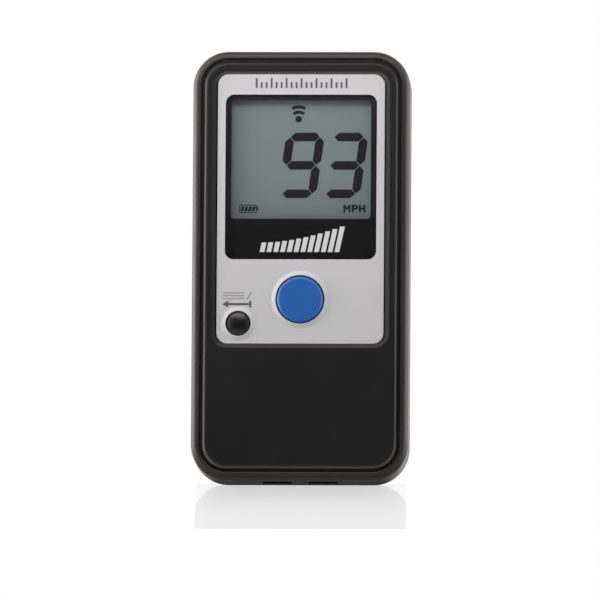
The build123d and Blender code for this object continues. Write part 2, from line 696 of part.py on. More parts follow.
def make_cell(x, foot_z, up):
    """AAA cell along Z, with its nub at the top when up is true."""
    body_l = CELL_L - NUB_H
    low_z = foot_z if up else foot_z + NUB_H
    body = Pos(x, CELL_Y, low_z) * Cylinder(CELL_R, body_l, align=(Align.CENTER, Align.CENTER, Align.MIN))
    body = fillet(body.edges(), CELL_EDGE_R)
    nub_z = low_z + body_l if up else foot_z
    nub = Pos(x, CELL_Y, nub_z) * Cylinder(NUB_R, NUB_H, align=(Align.CENTER, Align.CENTER, Align.MIN))
    return body + nub


def contact_plate(x, width, low_z):
    """Flat contact plate across the end of the bay."""
    low = (x - width / 2, BAY_FLOOR_BACK_Y + 2 * WELD, low_z)
    return block(low, (x + width / 2, CONTACT_BACK_Y, low_z + CONTACT))


def contact_tail(x):
    """Tail of an upper contact plate, through the bay floor to the board."""
    low_z = BAY_TOP_Z - CONTACT
    high = (x + TAIL_W / 2, BAY_FLOOR_BACK_Y + 3 * WELD, BAY_TOP_Z)
    return block((x - TAIL_W / 2, BOARD_BACK_Y, low_z), high)


def bump(x, from_z, to_z):
    """Round pressed boss of a contact plate."""
    low = min(from_z, to_z)
    solid = Cylinder(CONTACT_BUMP_R, abs(to_z - from_z), align=(Align.CENTER, Align.CENTER, Align.MIN))
    return Pos(x, CELL_Y, low) * solid


def coil(x, low_z):
    """Coil spring of a contact, compressed by its cell."""
    height = SPRING_H - 2 * WIRE_R - 2 * BITE
    path = Helix(pitch=height / COILS, height=height, radius=SPRING_R)
    section = Plane(origin=path @ 0, z_dir=path % 0) * Circle(WIRE_R)
    return Pos(x, CELL_Y, low_z + WIRE_R + BITE) * sweep(section, path=path)


def make_contacts():
    """The three battery contacts: spring, button, and the link between the cells."""
    top_plate_z = BAY_TOP_Z - CONTACT
    spring = contact_plate(CELL_X, CONTACT_W, top_plate_z) + contact_tail(CELL_X)
    button = contact_plate(-CELL_X, CONTACT_W, top_plate_z) + contact_tail(-CELL_X)
    button += bump(-CELL_X, top_plate_z, top_plate_z - CONTACT_BUMP)
    link = contact_plate(0, 2 * CELL_X + CONTACT_W, BAY_BOTTOM_Z)
    link += bump(CELL_X, BAY_BOTTOM_Z + CONTACT, BAY_BOTTOM_Z + CONTACT + CONTACT_BUMP)
    return {
        "spring_contact": [spring, coil(CELL_X, top_plate_z - SPRING_H)],
        "button_contact": button,
        "link_contact": [link, coil(-CELL_X, BAY_BOTTOM_Z + CONTACT)],
    }


def make_battery_door():
    """Door with two hooks on its top edge, a sprung tongue and grip grooves."""
    centre_z = (DOOR_BOTTOM_Z + DOOR_TOP_Z) / 2
    door = slab(DOOR_W, DOOR_TOP_Z - DOOR_BOTTOM_Z, DOOR_R, DOOR_FRONT_Y, BACK_Y, 0, centre_z)
    for x in (-HOOK_X, HOOK_X):
        foot = (x - HOOK_W / 2, HOOK_FRONT_Y, DOOR_TOP_Z - HOOK_ROOT)
        door += block(foot, (x + HOOK_W / 2, DOOR_FRONT_Y + 2 * WELD, DOOR_TOP_Z - HOOK_STEP))
        door += block(foot, (x + HOOK_W / 2, HOOK_BACK_Y, HOOK_TOP_Z))
    tongue_top_z = DOOR_BOTTOM_Z + TONGUE_H
    for side in (-1, 1):
        edge = side * (TONGUE_W / 2)
        low = (min(edge, edge + side * TONGUE_SLOT), DOOR_FRONT_Y - PAST, DOOR_BOTTOM_Z - PAST)
        high = (max(edge, edge + side * TONGUE_SLOT), BACK_Y + PAST, tongue_top_z)
        door -= block(low, high)
    for i in range(GRIPS):
        z = DOOR_BOTTOM_Z + GRIP_Z + GRIP_PITCH * i
        door -= slab(GRIP_W, GRIP_H, GRIP_R, BACK_Y - GRIP_DEPTH, BACK_Y + PAST, 0, z)
    return door


def make_label():
    """Plain label in the recess of the upper back."""
    y_front = BACK_Y - LABEL_RECESS
    return slab(LABEL_W, LABEL_H, LABEL_R, y_front, y_front + LABEL, 0, LABEL_Z)


def make_parts():
    """Every node of the object, by name."""
    link_z = BAY_BOTTOM_Z + CONTACT
    top_plate_z = BAY_TOP_Z - CONTACT
    parts = {
        "front_shell": make_front_shell(),
        "back_shell": make_back_shell(),
        "faceplate": make_faceplate(),
        "faceplate_tape": make_faceplate_tape(),
        "display_window": make_window(),
        "window_mask": make_window_mask(),
        "window_tape": make_window_tape(),
        "measure_button": make_flat_button(*MEASURE, CROWN_Y, MEASURE_EDGE_R),
        "mode_button": make_domed_button(*MODE, MODE_CROWN_Y, MODE_CROWN_SPHERE_R, MODE_EDGE_R),
        "measure_dome": make_dome(MEASURE_X, MEASURE_Z, MEASURE_DOME_TOP_R, MEASURE_DOME_R),
        "mode_dome": make_dome(MODE_X, MODE_Z, MODE_DOME_TOP_R, MODE_DOME_R),
        "measure_pill": make_pill(MEASURE_X, MEASURE_Z, MEASURE_PILL_R),
        "mode_pill": make_pill(MODE_X, MODE_Z, MODE_PILL_R),
        "keypad_mat": make_keypad_mat(),
        "main_board": make_main_board(),
        "processor_chip": make_chip(*PROCESSOR),
        "display_driver_chip": make_chip(*DISPLAY_DRIVER),
        "crystal_can": make_crystal(CRYSTAL_X, CRYSTAL_Z),
        "board_capacitors": make_capacitors(),
        "board_header": make_board_header(),
        "antenna_board": make_antenna_board(),
        "antenna_patches": make_antenna_patches(),
        "antenna_spacers": make_spacers(),
        "rf_shield_can": make_shield_can(),
        "left_cell": make_cell(-CELL_X, link_z + SPRING_H, True),
        "right_cell": make_cell(CELL_X, top_plate_z - SPRING_H - CELL_L, False),
        "battery_door": make_battery_door(),
        "door_foam_pad": slab(FOAM_W, FOAM_H, FOAM_R, FOAM_FRONT_Y, DOOR_FRONT_Y, 0, FOAM_Z),
        "rear_label": make_label(),
        "board_screws": [
            make_screw(x, z, BOARD_HEAD_R, BOARD_SCREW_R, BOARD_BACK_Y, PANEL_BACK_Y, BOARD_HEAD_H)
            for x, z in board_screw_spots()
        ],
        "case_screws": [
            make_screw(x, z, CASE_HEAD_R, CASE_SCREW_R, SCREW_SEAT_Y, CASE_TIP_Y, CASE_HEAD_H)
            for x, z in case_screw_spots()
        ],
    }
    parts.update(make_display())
    parts.update(make_contacts())
    return parts


def write(name, shape):
    """Write one node; a list is a group of separate solids."""
    if isinstance(shape, list):
        shape = Compound(children=shape)
    export_step(shape, os.path.join("parts", name + ".step"))


os.makedirs("parts", exist_ok=True)
for part_name, part_shape in make_parts().items():
    write(part_name, part_shape)
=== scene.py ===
import math

import bmesh
import bpy
from mathutils import Matrix, Vector


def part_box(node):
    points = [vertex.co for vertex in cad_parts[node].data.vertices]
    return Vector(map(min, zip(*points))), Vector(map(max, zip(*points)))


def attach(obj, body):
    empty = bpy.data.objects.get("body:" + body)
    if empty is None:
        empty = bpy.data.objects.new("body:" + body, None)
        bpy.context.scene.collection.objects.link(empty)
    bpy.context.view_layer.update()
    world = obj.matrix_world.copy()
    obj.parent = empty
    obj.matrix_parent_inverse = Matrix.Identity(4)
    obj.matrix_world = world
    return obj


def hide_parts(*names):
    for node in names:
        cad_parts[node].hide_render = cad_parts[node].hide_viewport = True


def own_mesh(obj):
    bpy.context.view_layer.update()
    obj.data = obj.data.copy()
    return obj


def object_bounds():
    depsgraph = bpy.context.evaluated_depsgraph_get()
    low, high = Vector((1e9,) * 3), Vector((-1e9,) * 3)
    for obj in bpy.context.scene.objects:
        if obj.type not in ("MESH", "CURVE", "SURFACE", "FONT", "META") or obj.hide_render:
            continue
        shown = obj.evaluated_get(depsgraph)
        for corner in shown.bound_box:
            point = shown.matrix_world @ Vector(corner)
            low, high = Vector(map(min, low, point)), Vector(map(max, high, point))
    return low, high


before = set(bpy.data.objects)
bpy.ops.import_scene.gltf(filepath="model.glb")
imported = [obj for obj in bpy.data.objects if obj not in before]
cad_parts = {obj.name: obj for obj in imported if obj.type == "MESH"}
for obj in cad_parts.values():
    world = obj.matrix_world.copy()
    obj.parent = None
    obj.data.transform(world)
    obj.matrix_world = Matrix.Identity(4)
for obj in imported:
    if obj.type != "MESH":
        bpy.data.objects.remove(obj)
cad_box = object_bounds()

# Lengths are in metres, unless a comment says millimetres.
MM = 0.001


# ---------------------------------------------------------------- places from the frame


def centre_of(node):
    """Middle of a CAD node's box."""
    low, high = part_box(node)
    return (low + high) / 2


PLATE_LOW, PLATE_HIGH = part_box("faceplate")
LCD_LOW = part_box("lcd_front_polariser")[0]
LCD = centre_of("lcd_front_polariser")
MASK_LOW, MASK_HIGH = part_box("window_mask")
MODE = centre_of("mode_button")
LABEL_LOW, LABEL_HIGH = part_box("rear_label")
HEIGHT = cad_box[1].z
# The plate's own face lies behind the collars, which stand this far out of it.
COLLAR = 0.45 * MM
FACE_Y = PLATE_LOW.y + COLLAR


# ---------------------------------------------------------------- materials


class Shade:
    """A node material with short calls for the nodes that it uses."""

    def __init__(self, name, colour, roughness, **sockets):
        self.material = bpy.data.materials.new(name)
        self.material.use_nodes = True
        self.nodes = self.material.node_tree.nodes
        self.links = self.material.node_tree.links
        self.bsdf = self.nodes["Principled BSDF"]
        self.bsdf.inputs["Base Color"].default_value = (*colour, 1.0)
        self.bsdf.inputs["Roughness"].default_value = roughness
        for key, value in sockets.items():
            self.bsdf.inputs[key.replace("_", " ")].default_value = value
        self.colour = colour
        self.coords = self.nodes.new("ShaderNodeTexCoord").outputs["Object"]

    def noise(self, scale, detail=3.0, stretch=(1, 1, 1)):
        """Noise in the row frame; scale is in features per metre."""
        mapping = self.nodes.new("ShaderNodeMapping")
        mapping.inputs["Scale"].default_value = stretch
        self.links.new(self.coords, mapping.inputs["Vector"])
        node = self.nodes.new("ShaderNodeTexNoise")
        node.inputs["Scale"].default_value = scale
        node.inputs["Detail"].default_value = detail
        self.links.new(mapping.outputs["Vector"], node.inputs["Vector"])
        return node.outputs["Fac"]

    def cells(self, scale):
        """Voronoi distance in the row frame; scale is in cells per metre."""
        node = self.nodes.new("ShaderNodeTexVoronoi")
        node.inputs["Scale"].default_value = scale
        self.links.new(self.coords, node.inputs["Vector"])
        return node.outputs["Distance"]

    def ramp(self, value, stops):
        """Colour ramp; stops are (position, colour)."""
        node = self.nodes.new("ShaderNodeValToRGB")
        elements = node.color_ramp.elements
        while len(elements) < len(stops):
            elements.new(0.5)
        for element, (position, colour) in zip(elements, stops):
            element.position = position
            element.color = (*colour, 1.0)
        self.links.new(value, node.inputs["Fac"])
        return node.outputs["Color"]

    def spread(self, value, low, high):
        """Map 0..1 to low..high."""
        node = self.nodes.new("ShaderNodeMapRange")
        node.inputs["To Min"].default_value = low
        node.inputs["To Max"].default_value = high
        self.links.new(value, node.inputs["Value"])
        return node.outputs["Result"]

    def mix(self, factor, a, b):
        """Mix of two colours, each a socket or three numbers."""
        node = self.nodes.new("ShaderNodeMix")
        node.data_type = "RGBA"
        self.links.new(factor, node.inputs["Factor"])
        # The node's colour sockets are inputs 6 and 7 and output 2; the others are for other types.
        for index, value in ((6, a), (7, b)):
            if isinstance(value, bpy.types.NodeSocket):
                self.links.new(value, node.inputs[index])
            else:
                node.inputs[index].default_value = (*value, 1.0)
        return node.outputs[2]

    def axis(self, name):
        """One coordinate of the row frame, in metres."""
        node = self.nodes.new("ShaderNodeSeparateXYZ")
        self.links.new(self.coords, node.inputs["Vector"])
        return node.outputs[name]

    def between(self, value, low, high):
        """Clamped 0..1 as value goes from low to high."""
        node = self.nodes.new("ShaderNodeMapRange")
        node.inputs["From Min"].default_value = low
        node.inputs["From Max"].default_value = high
        self.links.new(value, node.inputs["Value"])
        return node.outputs["Result"]

    def mottle(self, factor, amount):
        """Colour that varies by amount, up and down, with a 0..1 value."""
        dark = tuple(c * (1 - amount) for c in self.colour)
        light = tuple(min(1.0, c * (1 + amount)) for c in self.colour)
        tone = self.ramp(factor, [(0.3, dark), (0.7, light)])
        self.paint(tone)
        return tone

    def zone(self, *spans):
        """Mask that is one inside all spans and fades to zero outside.

        A span is an axis, the place where the mask is zero and the place where it is one.
        """
        total = None
        for name, zero_at, one_at in spans:
            part = self.between(self.axis(name), zero_at, one_at)
            if total is None:
                total = part
                continue
            node = self.nodes.new("ShaderNodeMath")
            node.operation = "MULTIPLY"
            self.links.new(total, node.inputs[0])
            self.links.new(part, node.inputs[1])
            total = node.outputs[0]
        return total

    def paint(self, socket):
        """Drive the base colour."""
        self.links.new(socket, self.bsdf.inputs["Base Color"])

    def rough(self, socket):
        """Drive the roughness."""
        self.links.new(socket, self.bsdf.inputs["Roughness"])

    def bump(self, *layers):
        """Bump layers, each (height socket, depth in metres)."""
        normal = None
        for height, depth in layers:
            node = self.nodes.new("ShaderNodeBump")
            node.inputs["Distance"].default_value = depth
            node.inputs["Strength"].default_value = 1.0
            self.links.new(height, node.inputs["Height"])
            if normal is not None:
                self.links.new(normal, node.inputs["Normal"])
            normal = node.outputs["Normal"]
        self.links.new(normal, self.bsdf.inputs["Normal"])


def moulded_plastic(
    name, colour, roughness, grain=5200, depth=0.006, mottle=0.10, painted_light=None, **sockets
):
    """Moulded plastic with a spark-eroded texture and faint handling marks.

    grain is the texture's features per metre, depth its height in millimetres, mottle the change of colour,
    and the last argument a function that paints highlights or shade over the tone.
    """
    s = Shade(name, colour, roughness, **sockets)
    tone = s.mottle(s.noise(45, 5), mottle)
    # Painted highlights or painted shade, laid over the tone.
    if painted_light:
        painted_light(s, tone)
    handling = s.noise(160, 6)
    s.rough(s.spread(handling, roughness - 0.07, roughness + 0.07))
    texture = s.noise(grain, 2)
    swell = s.noise(420, 2)
    s.bump((texture, depth * MM), (swell, depth * 0.7 * MM))
    return s.material


def paint_edge_highlights(s, tone):
    """Painted highlights: paler on the rounded lower edge and the slope above the faceplate."""
    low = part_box("front_shell")[0]
    half = PLATE_HIGH.x
    lower = s.zone(
        ("Y", low.y, low.y + 0.30 * MM),
        ("Y", low.y + 0.95 * MM, low.y + 0.60 * MM),
        ("Z", low.z + 8.0 * MM, low.z + 2.5 * MM),
    )
    upper = s.zone(
        ("Y", low.y + 0.15 * MM, low.y + 0.45 * MM),
        ("Z", PLATE_HIGH.z - 3.0 * MM, PLATE_HIGH.z),
        ("Z", PLATE_HIGH.z + 1.8 * MM, PLATE_HIGH.z + 1.2 * MM),
        ("X", half + 1.6 * MM, half + 1.2 * MM),
        ("X", -half - 1.6 * MM, -half - 1.2 * MM),
    )
    # Painted highlight colours, far paler than the black plastic.
    lower_edge_highlight = (0.080, 0.078, 0.077)
    slope_highlight = (0.090, 0.086, 0.078)
    s.paint(s.mix(upper, s.mix(lower, tone, lower_edge_highlight), slope_highlight))


def case_front():
    """Satin black of the front shell, with painted highlights on its lower edge and above the faceplate."""
    return moulded_plastic(
        "case_front_satin",
        (0.0066, 0.0064, 0.0067),
        roughness=0.48,
        grain=6500,
        depth=0.005,
        mottle=0.12,
        painted_light=paint_edge_highlights,
        Specular_IOR_Level=0.28,
    )


# Painted shade: the deeper black of the back and the door.
SHADED_BACK_BLACK = (0.0095, 0.0090, 0.0087)
SOFT_COAT = {"roughness": 0.46, "grain": 4200, "depth": 0.010, "Specular_IOR_Level": 0.38}


def shade_the_back(s, tone):
    """Painted shade: deeper black behind the rim, to darken the back under the bright light behind it."""
    behind = s.between(s.axis("Y"), -5.0 * MM, 1.5 * MM)
    s.paint(s.mix(behind, tone, SHADED_BACK_BLACK))


def case_back():
    """Soft black coat of the back shell, warmer and paler on the rim, with painted shade on the back."""
    rim_black = (0.0225, 0.0193, 0.0168)
    return moulded_plastic("case_back_soft", rim_black, painted_light=shade_the_back, **SOFT_COAT)


def door_plastic():
    """The back shell's soft coat, in the deeper black of the back's painted shade."""
    return moulded_plastic("door_soft", SHADED_BACK_BLACK, **SOFT_COAT)


def faceplate_print():
    """Matte grey print over a smooth plate, with fine pigment speckle."""
    s = Shade("faceplate_print", (0.500, 0.491, 0.498), 0.42)
    s.mottle(s.noise(9000, 2), 0.03)
    s.rough(s.spread(s.noise(200, 4), 0.38, 0.48))
    s.bump((s.noise(3000, 2), 0.0012 * MM), (s.noise(500, 2), 0.0015 * MM))
    return s.material


def clear_pane():
    """Polished clear acrylic."""
    s = Shade("clear_pane", (0.012, 0.013, 0.014), 0.03, IOR=1.49, Alpha=0.12)
    s.rough(s.spread(s.noise(350, 5), 0.02, 0.06))
    return s.material


def mask_print():
    """Gloss black print behind the pane, with a painted sheen above its lower end, palest at the top."""
    s = Shade("mask_print", (0.0085, 0.0085, 0.009), 0.22)
    share = s.between(s.axis("Z"), MASK_LOW.z, MASK_HIGH.z)
    # Painted sheen: the border is painted paler above its lower end and palest at its top edge.
    bare, sheen_black, top = (0.0102, 0.0100, 0.0104), (0.0225, 0.0215, 0.0220), (0.039, 0.036, 0.036)
    tone = s.ramp(share, [(0.22, bare), (0.32, sheen_black), (0.85, sheen_black), (0.97, top)])
    s.paint(s.mix(s.spread(s.noise(120, 4), 0.0, 0.3), tone, bare))
    s.bump((s.noise(2500, 2), 0.0006 * MM))
    return s.material


def lcd_face():
    """Grey-green face of the display, with a fine film grain, a faint cloud and painted shade at its foot."""
    s = Shade("lcd_face", (0.27, 0.33, 0.33), 0.42)
    cloud = s.noise(60, 3)
    grain = s.noise(14000, 1)
    tone = s.mix(cloud, (0.240, 0.298, 0.302), (0.277, 0.339, 0.343))
    # Painted shade: the display darker towards its foot, as it looks from below.
    foot_shade = s.between(s.axis("Z"), LCD.z - 3.0 * MM, LCD_LOW.z)
    tone = s.mix(s.spread(foot_shade, 0.0, 0.42), tone, (0.125, 0.160, 0.163))
    s.paint(s.mix(s.spread(grain, 0.0, 0.25), tone, (0.197, 0.242, 0.242)))
    s.bump((grain, 0.0008 * MM))
    return s.material


def ink(name, colour, roughness=0.5, grain=5000, mottle=0.12):
    """Thin flat print, slightly uneven."""
    s = Shade(name, colour, roughness)
    s.mottle(s.noise(grain, 2), mottle)
    return s.material


def button_cap(name, colour, roughness, mottle):
    """Finely textured cap of a push button."""
    return moulded_plastic(name, colour, roughness, grain=3800, depth=0.004, mottle=mottle)


def board_mask(name, colour, trace):
    """Solder mask with traces that show through."""
    s = Shade(name, colour, 0.3)
    brick = s.nodes.new("ShaderNodeTexBrick")
    brick.inputs["Scale"].default_value = 420
    brick.inputs["Mortar Size"].default_value = 0.035
    brick.inputs["Color1"].default_value = (*colour, 1)
    brick.inputs["Color2"].default_value = (*[c * 0.85 for c in colour], 1)
    brick.inputs["Mortar"].default_value = (*trace, 1)
    upright = s.nodes.new("ShaderNodeMapping")
    upright.inputs["Rotation"].default_value = (math.radians(90), 0, 0)
    s.links.new(s.coords, upright.inputs["Vector"])
    s.links.new(upright.outputs["Vector"], brick.inputs["Vector"])
    s.paint(brick.outputs["Color"])
    s.rough(s.spread(s.noise(300, 3), 0.25, 0.4))
    return s.material


def metal(name, colour, roughness, stretch=(1, 1, 1)):
    """Plated or tinned metal with fine rolling lines."""
    s = Shade(name, colour, roughness, Metallic=1.0)
    lines = s.noise(1500, 3, stretch)
    s.mottle(lines, 0.10)
    s.rough(s.spread(s.noise(400, 4), roughness - 0.08, roughness + 0.1))
    s.bump((lines, 0.002 * MM))
    return s.material


def rubber(name, colour, roughness):
    """Smooth matte sheet or moulding: silicone, film, nylon."""
    s = Shade(name, colour, roughness)
    s.mottle(s.noise(300, 4), 0.08)
    s.bump((s.noise(4000, 2), 0.004 * MM))
    return s.material


def foam():
    """Open-pored black foam."""
    s = Shade("foam", (0.02, 0.02, 0.021), 0.9)
    pores = s.cells(2600)
    s.mottle(pores, 0.5)
    s.bump((pores, 0.10 * MM))
    return s.material


def zebra():
    """Elastomer with alternate carbon layers across its length."""
    s = Shade("zebra_layers", (0.30, 0.30, 0.31), 0.6)
    wave = s.nodes.new("ShaderNodeTexWave")
    wave.inputs["Scale"].default_value = 1500
    s.links.new(s.coords, wave.inputs["Vector"])
    s.paint(s.ramp(wave.outputs["Fac"], [(0.4, (0.02, 0.02, 0.02)), (0.6, (0.5, 0.5, 0.52))]))
    return s.material


def ceramic_chip():
    """Brown ceramic of small capacitors."""
    s = Shade("ceramic_chip", (0.36, 0.24, 0.14), 0.5)
    s.mottle(s.noise(2500, 3), 0.15)
    return s.material


def label_film():
    """Silver-grey polyester film."""
    s = Shade("label_film", (0.30, 0.30, 0.305), 0.38, Metallic=0.35)
    s.mottle(s.noise(7000, 2, (1, 1, 0.1)), 0.06)
    s.rough(s.spread(s.noise(150, 4), 0.33, 0.45))
    s.bump((s.noise(1800, 2), 0.0012 * MM))
    return s.material


def cell_sleeve(node, up):
    """Shrink sleeve of a cell: dark body, bronze shoulder at the positive end, bare steel ends."""
    low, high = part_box(node)
    s = Shade(node + "_sleeve", (0.03, 0.03, 0.032), 0.3)
    share = s.between(s.axis("Z"), low.z, high.z)
    if not up:
        share = s.spread(share, 1.0, 0.0)
    steel = (0.62, 0.62, 0.63)
    dark = (0.028, 0.028, 0.031)
    bronze = (0.50, 0.24, 0.07)
    line = (0.75, 0.74, 0.70)
    white, black = (1, 1, 1), (0, 0, 0)
    # Shares of the cell's length at which the sleeve starts, changes colour and ends.
    start = 0.45 * MM / (high.z - low.z)
    end = 0.975 - start
    tones = s.ramp(share, [(0.0, steel), (start, dark), (0.700, line), (0.712, bronze), (end, steel)])
    bare = s.ramp(share, [(0.0, white), (start, black), (end, white)])
    for socket in (tones, bare):
        socket.node.color_ramp.interpolation = "CONSTANT"
    s.paint(tones)
    s.links.new(bare, s.bsdf.inputs["Metallic"])
    s.bump((s.noise(900, 3), 0.004 * MM))
    return s.material


def wear(material, *names):
    """Give one material to some CAD nodes."""
    for name in names:
        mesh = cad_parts[name].data
        mesh.materials.clear()
        mesh.materials.append(material)


# ---------------------------------------------------------------- geometry helpers


def add_piece(name, bm, material, body, smooth_faces=False):
    """Make a piece of a bmesh, and let it ride on a body."""
    mesh = bpy.data.meshes.new(name)
    bm.to_mesh(mesh)
    bm.free()
    if smooth_faces:
        mesh.shade_smooth()
    mesh.materials.append(material)
    piece = bpy.data.objects.new(name, mesh)
    bpy.context.scene.collection.objects.link(piece)
    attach(piece, body)
    return piece


def print_marks(name, outlines, y_front, y_back, material):
    """Thin solids on the housing, from closed outlines of (x, z) points in millimetres."""
    bm = bmesh.new()
    for outline in outlines:
        front = [bm.verts.new((x * MM, y_front, z * MM)) for x, z in outline]
        back = [bm.verts.new((x * MM, y_back, z * MM)) for x, z in outline]
        bm.faces.new(front)
        bm.faces.new(list(reversed(back)))
        count = len(outline)
        for i in range(count):
            j = (i + 1) % count
            bm.faces.new((front[j], front[i], back[i], back[j]))
    bmesh.ops.recalc_face_normals(bm, faces=bm.faces)
    bmesh.ops.triangulate(bm, faces=[f for f in bm.faces if len(f.verts) > 4])
    add_piece(name, bm, material, "housing")


def on_circle(centre, radius, angle):
    """Point of a circle; the angle is in radians from +X towards +Z."""
    return (centre[0] + radius * math.cos(angle), centre[1] + radius * math.sin(angle))


def stroke(start, end, width):
    """Outline of a straight bar between two points."""
    a, b = Vector(start), Vector(end)
    side = (b - a).normalized().orthogonal() * (width / 2)
    return [tuple(a + side), tuple(b + side), tuple(b - side), tuple(a - side)]


def arc_band(centre, radius, width, from_deg, to_deg, steps=20):
    """Outline of a band along an arc, angles from +X towards +Z."""
    angles = [math.radians(from_deg + (to_deg - from_deg) * i / steps) for i in range(steps + 1)]
    outer = [on_circle(centre, radius + width / 2, angle) for angle in angles]
    inner = [on_circle(centre, radius - width / 2, angle) for angle in reversed(angles)]
    return outer + inner


def dot(centre, radius, steps=28):
    """Outline of a disc."""
    turn = 2 * math.pi / steps
    return [on_circle(centre, radius, turn * i) for i in range(steps)]


def bar(centre, width, height):
    """Outline of an upright rectangle."""
    x, z = centre
    return [
        (x - width / 2, z - height / 2),
        (x + width / 2, z - height / 2),
        (x + width / 2, z + height / 2),
        (x - width / 2, z + height / 2),
    ]


def border(centre, width, height, line):
    """Outlines of the four bars of an upright rectangular frame."""
    x, z = centre
    return [
        bar((x, z + height / 2), width, line),
        bar((x, z - height / 2), width, line),
        bar((x - width / 2, z), line, height),
        bar((x + width / 2, z), line, height),
    ]


def lean(outline, foot_z, degrees):
    """Outline sheared to the right above foot_z."""
    slope = math.tan(math.radians(degrees))
    return [(x + (z - foot_z) * slope, z) for x, z in outline]


# ---------------------------------------------------------------- display content

INK = 0.03 * MM  # thickness of every printed layer
PRINT_GAP = 0.005 * MM  # between the printed layers of the window and the sheets behind them
# Sizes of the numerals, in millimetres.
DIGIT_RISE = 7.8  # from one flat segment to the next
DIGIT_WIDTH = 8.2
DIGIT_STROKE = 2.35
SEGMENT_GAP = 0.15
DIGIT_SLANT = 7.8  # degrees
# Lit segments by their usual letters: a, g and d lie flat, the others stand.
SEGMENTS = {"9": "abcdfg", "3": "abcdg"}
# Places (x, z) on the display, in millimetres from its middle.
NINE = (-0.05, -1.4)
THREE = (11.85, -1.4)
SIGNAL = (-0.8, 11.3)
CHARGE = (-14.4, -13.35)
UNIT = (14.7, -13.25)


def segment(centre, along_x, length):
    """Six-sided segment with pointed ends."""
    end = length / 2
    side = DIGIT_STROKE / 2
    shoulder = end - side
    points = [(-end, 0), (-shoulder, side), (shoulder, side), (end, 0), (shoulder, -side), (-shoulder, -side)]
    x, z = centre
    return [(x + p, z + q) if along_x else (x + q, z + p) for p, q in points]


def digit(character, x, z):
    """Outlines of a leaning seven-segment numeral with its middle bar at x, z."""
    w, h = DIGIT_WIDTH / 2, DIGIT_RISE
    flat = {"a": (0, h), "g": (0, 0), "d": (0, -h)}
    upright = {"b": (w, h / 2), "c": (w, -h / 2), "f": (-w, h / 2)}
    outlines = []
    for name in SEGMENTS[character]:
        along_x = name in flat
        cx, cz = flat[name] if along_x else upright[name]
        length = (DIGIT_WIDTH if along_x else DIGIT_RISE) - 2 * SEGMENT_GAP
        outlines.append(segment((x + cx, z + cz), along_x, length))
    return [lean(outline, z, DIGIT_SLANT) for outline in outlines]


def signal_icon(x, z):
    """Dot with two arcs above it."""
    width = 0.85
    return [
        dot((x, z), 0.9),
        arc_band((x, z), 1.95, width, 45, 135),
        arc_band((x, z), 3.35, width, 58, 122),
    ]


def battery_icon(x, z):
    """Small battery outline with its charge blocks."""
    width, height, line = 4.6, 2.0, 0.22
    terminal = bar((x + width / 2 + 0.3, z), 0.35, 0.9)
    outlines = [*border((x, z), width, height, line), terminal]
    count, first, pitch = 4, -1.55, 1.03
    for i in range(count):
        block = bar((x + first + pitch * i, z), 0.75, 1.3)
        outlines.append(lean(block, z, 14))
    return outlines


def unit_icon(x, z):
    """The unit of speed, miles per hour, in plain strokes."""
    height, line = 2.1, 0.52
    low, high = z - height / 2, z + height / 2
    letter_m = [
        stroke((x - 2.9, low), (x - 2.9, high), line),
        stroke((x - 1.5, low), (x - 1.5, high), line),
        stroke((x - 2.9, high - 0.1), (x - 2.2, z - 0.2), line * 0.8),
        stroke((x - 1.5, high - 0.1), (x - 2.2, z - 0.2), line * 0.8),
    ]
    letter_p = [
        stroke((x - 0.6, low), (x - 0.6, high), line),
        stroke((x - 0.65, high - line / 2), (x + 0.2, high - line / 2), line),
        stroke((x - 0.65, z), (x + 0.2, z), line),
        arc_band((x + 0.2, z + 0.4), 0.4, line, -90, 90, 10),
    ]
    letter_h = [
        stroke((x + 1.3, low), (x + 1.3, high), line),
        stroke((x + 2.55, low), (x + 2.55, high), line),
        stroke((x + 1.3, z), (x + 2.55, z), line),
    ]
    return letter_m + letter_p + letter_h


def make_display_content():
    """The numerals and icons of the display, just in front of its polariser."""
    y_back = LCD_LOW.y - PRINT_GAP
    x, z = LCD.x / MM, LCD.z / MM
    nine = digit("9", x + NINE[0], z + NINE[1])
    three = digit("3", x + THREE[0], z + THREE[1])
    marks = {
        "speed_digits": nine + three,
        "signal_icon": signal_icon(x + SIGNAL[0], z + SIGNAL[1]),
        "charge_icon": battery_icon(x + CHARGE[0], z + CHARGE[1]),
        "unit_icon": unit_icon(x + UNIT[0], z + UNIT[1]),
    }
    lcd_ink = ink("lcd_ink", (0.0160, 0.0135, 0.0150), roughness=0.35, grain=2500)
    for name, outlines in marks.items():
        print_marks(name, outlines, y_back - INK, y_back, lcd_ink)


# ---------------------------------------------------------------- printed marks
# Their sizes are in millimetres.


def make_emblem():
    """Plain white rising bars on the black border below the display."""
    count, pitch, width = 12, 1.85, 1.3
    shortest, rise, curve = 2.6, 4.4, 1.8
    slant = 12
    z = MASK_LOW.z / MM + 2.05
    outlines = []
    for i in range(count):
        x = (i - (count - 1) / 2) * pitch - 0.3
        height = shortest + rise * (i / (count - 1)) ** curve
        outlines.append(lean(bar((x, z + height / 2), width, height), z, slant))
    y_back = MASK_LOW.y - PRINT_GAP
    white_ink = ink("white_ink", (0.72, 0.71, 0.72), roughness=0.45, mottle=0.05)
    print_marks("window_emblem", outlines, y_back - INK, y_back, white_ink)


def make_scale_mark(grey_ink):
    """Row of scale ticks at the top of the faceplate, every third one long."""
    ticks, pitch, width = 19, 1.36, 0.5
    long, short = 2.7, 1.6
    z = PLATE_HIGH.z / MM - 3.75
    outlines = []
    for i in range(ticks):
        x = (i - (ticks - 1) / 2) * pitch
        height = long if i % 3 == 0 else short
        outlines.append(bar((x, z + height / 2), width, height))
    print_marks("faceplate_scale", outlines, FACE_Y - INK, FACE_Y, grey_ink)


